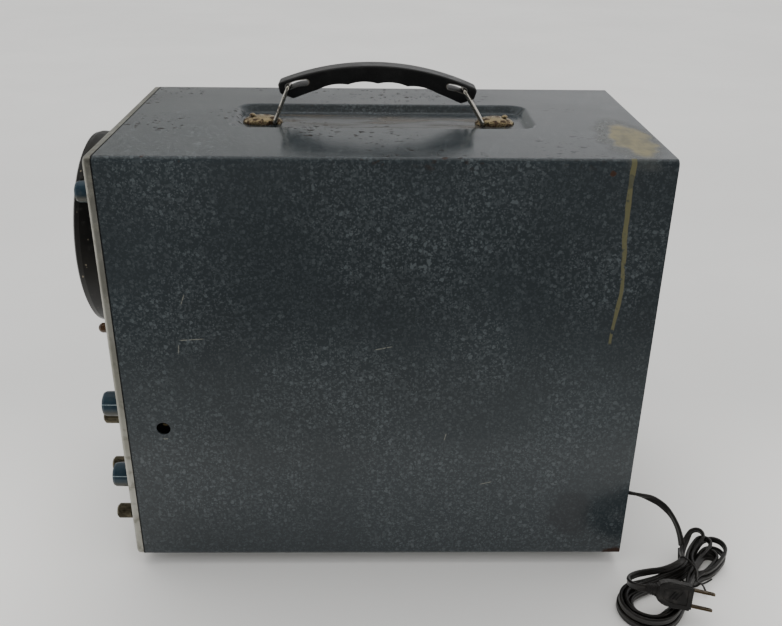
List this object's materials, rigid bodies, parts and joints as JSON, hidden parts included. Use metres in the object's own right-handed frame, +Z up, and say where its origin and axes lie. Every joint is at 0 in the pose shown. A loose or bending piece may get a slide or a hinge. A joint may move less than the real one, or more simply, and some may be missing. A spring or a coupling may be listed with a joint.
{
  "type": "oscilloscope",
  "caption": "Portable valve oscilloscope in a speckled steel cabinet, with a round bezel, knobs and binding posts in front and a folding grip on top.",
  "frame": {"origin": "on the floor under the middle of the instrument, measured without its mains cord", "axes": "+X from the front panel to the rear, +Z up, +Y to the user's left when facing the front panel's right side, away from the side with the access hole"},
  "size_m": [0.5387, 0.3215, 0.3986],
  "materials": {
    "speckled_steel": "semi-gloss navy-grey hammer enamel with pale flecks, scratched and rust-spotted",
    "trim_aluminium": "brushed, dulled",
    "panel_paint": "satin grey enamel",
    "plated_steel": "dull nickel plate",
    "foot_rubber": "matte",
    "black_moulding": "worn semi-gloss",
    "blue_moulding": "semi-gloss, white pointer line",
    "green_acrylic": "clear, ruled",
    "tube_glass": "clear",
    "brown_bakelite": "dull",
    "shield_steel": "dull",
    "chassis_steel": "zinc plate",
    "laminations": "varnished",
    "black_steel": "semi-gloss",
    "can_aluminium": "drawn",
    "tarnished_brass": "tarnished",
    "amber_jewel": "faceted, dusty",
    "tarnished_nickel": "dull nickel plate worn to brass",
    "link_wire": "worn nickel plate",
    "cord_vinyl": "satin vinyl",
    "plug_vinyl": "dull vinyl",
    "tie_wire": "coated wire"
  },
  "bodies": {
    "cabinet": {"cabinet_shell": "speckled_steel", "rear_panel": "speckled_steel", "front_trim": "trim_aluminium", "front_panel": "panel_paint", "trim_screws": "plated_steel", "rear_screws": "plated_steel", "feet": "foot_rubber", "foot_screws": "plated_steel", "crt_bezel": "black_moulding", "graticule": "green_acrylic", "crt_tube": "tube_glass", "crt_base": "brown_bakelite", "crt_socket": "brown_bakelite", "crt_cushion": "foot_rubber", "crt_shield": "shield_steel", "crt_clamp": "shield_steel", "chassis": "chassis_steel", "chassis_brackets": "chassis_steel", "transformer_core": "laminations", "transformer_bells": "black_steel", "filter_cans": "can_aluminium", "valve_sockets": "brown_bakelite", "valves": "tube_glass", "potentiometers": "can_aluminium", "rotary_switches": "brown_bakelite", "control_nuts": "plated_steel", "toggle_body": "brown_bakelite", "pilot_holder": "tarnished_brass", "pilot_jewel": "amber_jewel", "post_bases": "black_moulding", "side_trimmer": "tarnished_brass", "handle_plates": "tarnished_brass", "plate_rivets": "tarnished_brass", "cord_gland": "foot_rubber", "cord_lead": "cord_vinyl", "cord_hank": "cord_vinyl", "cord_tie": "tie_wire", "plug_body": "plug_vinyl", "plug_blades": "tarnished_brass"},
    "intensity_knob": {"knob_intensity": "blue_moulding"},
    "focus_knob": {"knob_focus": "blue_moulding"},
    "vertical_position_knob": {"knob_vertical_position": "blue_moulding"},
    "horizontal_position_knob": {"knob_horizontal_position": "blue_moulding"},
    "vertical_gain_knob": {"knob_vertical_gain": "blue_moulding"},
    "horizontal_gain_knob": {"knob_horizontal_gain": "blue_moulding"},
    "sweep_vernier_knob": {"knob_sweep_vernier": "blue_moulding"},
    "sync_level_knob": {"knob_sync_level": "blue_moulding"},
    "vertical_input_selector": {"selector_vertical_input": "blue_moulding"},
    "sync_source_selector": {"selector_sync_source": "blue_moulding"},
    "sweep_range_selector": {"selector_sweep_range": "blue_moulding"},
    "toggle": {"toggle_lever": "plated_steel"},
    "vertical_high_nut": {"post_cap_vertical_high": "tarnished_nickel"},
    "vertical_low_nut": {"post_cap_vertical_low": "tarnished_nickel"},
    "vertical_ground_nut": {"post_cap_vertical_ground": "tarnished_nickel"},
    "horizontal_high_nut": {"post_cap_horizontal_high": "tarnished_nickel"},
    "horizontal_low_nut": {"post_cap_horizontal_low": "tarnished_nickel"},
    "horizontal_ground_nut": {"post_cap_horizontal_ground": "tarnished_nickel"},
    "handle": {"handle_grip": "black_moulding"},
    "link_left": {"handle_link_left": "link_wire"},
    "link_right": {"handle_link_right": "link_wire"}
  },
  "joints": [
    {"name": "intensity_turn", "type": "hinge", "parent": "cabinet", "child": "intensity_knob", "pos_m": [-0.20175, -0.084, 0.3225], "axis": [-1, 0, 0], "range_deg": [-150, 150]},
    {"name": "focus_turn", "type": "hinge", "parent": "cabinet", "child": "focus_knob", "pos_m": [-0.20175, 0.084, 0.3225], "axis": [-1, 0, 0], "range_deg": [-150, 150]},
    {"name": "vertical_position_turn", "type": "hinge", "parent": "cabinet", "child": "vertical_position_knob", "pos_m": [-0.20175, 0.092, 0.1465], "axis": [-1, 0, 0], "range_deg": [-150, 150]},
    {"name": "horizontal_position_turn", "type": "hinge", "parent": "cabinet", "child": "horizontal_position_knob", "pos_m": [-0.20175, -0.092, 0.1465], "axis": [-1, 0, 0], "range_deg": [-150, 150]},
    {"name": "vertical_gain_turn", "type": "hinge", "parent": "cabinet", "child": "vertical_gain_knob", "pos_m": [-0.20175, 0.092, 0.077], "axis": [-1, 0, 0], "range_deg": [-150, 150]},
    {"name": "horizontal_gain_turn", "type": "hinge", "parent": "cabinet", "child": "horizontal_gain_knob", "pos_m": [-0.20175, -0.092, 0.077], "axis": [-1, 0, 0], "range_deg": [-150, 150]},
    {"name": "sweep_vernier_turn", "type": "hinge", "parent": "cabinet", "child": "sweep_vernier_knob", "pos_m": [-0.20175, 0.034, 0.056], "axis": [-1, 0, 0], "range_deg": [-150, 150]},
    {"name": "sync_level_turn", "type": "hinge", "parent": "cabinet", "child": "sync_level_knob", "pos_m": [-0.20175, -0.034, 0.056], "axis": [-1, 0, 0], "range_deg": [-150, 150]},
    {"name": "vertical_input_select", "type": "hinge", "parent": "cabinet", "child": "vertical_input_selector", "pos_m": [-0.20175, 0.042, 0.142], "axis": [-1, 0, 0], "range_deg": [-120, 120]},
    {"name": "sync_source_select", "type": "hinge", "parent": "cabinet", "child": "sync_source_selector", "pos_m": [-0.20175, -0.042, 0.142], "axis": [-1, 0, 0], "range_deg": [-120, 120]},
    {"name": "sweep_range_select", "type": "hinge", "parent": "cabinet", "child": "sweep_range_selector", "pos_m": [-0.20175, 0, 0.104], "axis": [-1, 0, 0], "range_deg": [-120, 120]},
    {"name": "power_toggle", "type": "hinge", "parent": "cabinet", "child": "toggle", "pos_m": [-0.18675, 0, 0.05], "axis": [0, 1, 0], "range_deg": [-32, 0]},
    {"name": "vertical_high_unscrew", "type": "slide", "parent": "cabinet", "child": "vertical_high_nut", "axis": [-1, 0, 0], "range_m": [0, 0.005]},
    {"name": "vertical_low_unscrew", "type": "slide", "parent": "cabinet", "child": "vertical_low_nut", "axis": [-1, 0, 0], "range_m": [0, 0.005]},
    {"name": "vertical_ground_unscrew", "type": "slide", "parent": "cabinet", "child": "vertical_ground_nut", "axis": [-1, 0, 0], "range_m": [0, 0.005]},
    {"name": "horizontal_high_unscrew", "type": "slide", "parent": "cabinet", "child": "horizontal_high_nut", "axis": [-1, 0, 0], "range_m": [0, 0.005]},
    {"name": "horizontal_low_unscrew", "type": "slide", "parent": "cabinet", "child": "horizontal_low_nut", "axis": [-1, 0, 0], "range_m": [0, 0.005]},
    {"name": "horizontal_ground_unscrew", "type": "slide", "parent": "cabinet", "child": "horizontal_ground_nut", "axis": [-1, 0, 0], "range_m": [0, 0.005]},
    {"name": "handle_lower", "type": "slide", "parent": "cabinet", "child": "handle", "axis": [0, 0, -1], "range_m": [0, 0.012]},
    {"name": "link_left_lean", "type": "hinge", "parent": "cabinet", "child": "link_left", "pos_m": [-0.072, 0.008, 0.3534], "axis": [0, 1, 0], "range_deg": [0, 27.4]},
    {"name": "link_right_lean", "type": "hinge", "parent": "cabinet", "child": "link_right", "pos_m": [0.095, 0.008, 0.3534], "axis": [0, -1, 0], "range_deg": [0, 24.7]}
  ],
  "couplings": [
    {"joint": "link_left_lean", "follows": "handle_lower", "rad_per_m": 39.706},
    {"joint": "link_right_lean", "follows": "handle_lower", "rad_per_m": 35.779}
  ]
}
